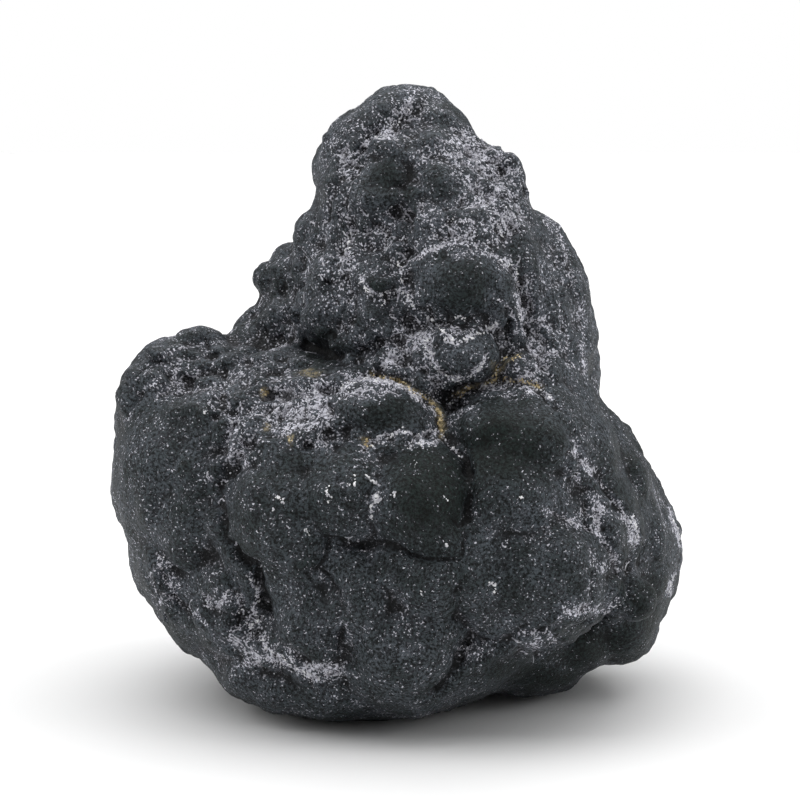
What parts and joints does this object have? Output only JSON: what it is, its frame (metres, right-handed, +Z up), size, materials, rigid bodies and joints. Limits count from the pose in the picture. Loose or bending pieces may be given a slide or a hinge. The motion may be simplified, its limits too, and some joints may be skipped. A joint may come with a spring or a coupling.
{
  "type": "howlite nodule",
  "caption": "Dark botryoidal stone nodule: a narrow leaning head on a broad mass of grown-together lobes, standing on lobes worn flat.",
  "frame": {"origin": "middle of the bounding box, at the level of the surface that the stone stands on", "axes": "+Z up, along the stone's greatest dimension; -Y towards the viewer of the pictured front; +X to that viewer's right"},
  "size_m": [0.0803, 0.0686, 0.0851],
  "materials": {
    "dark_howlite": "matte, green-black, with a pale lilac-grey frost of fine grains and ochre in the deepest creases"
  },
  "bodies": {
    "root": {"howlite_nodule": "dark_howlite"}
  },
  "joints": []
}
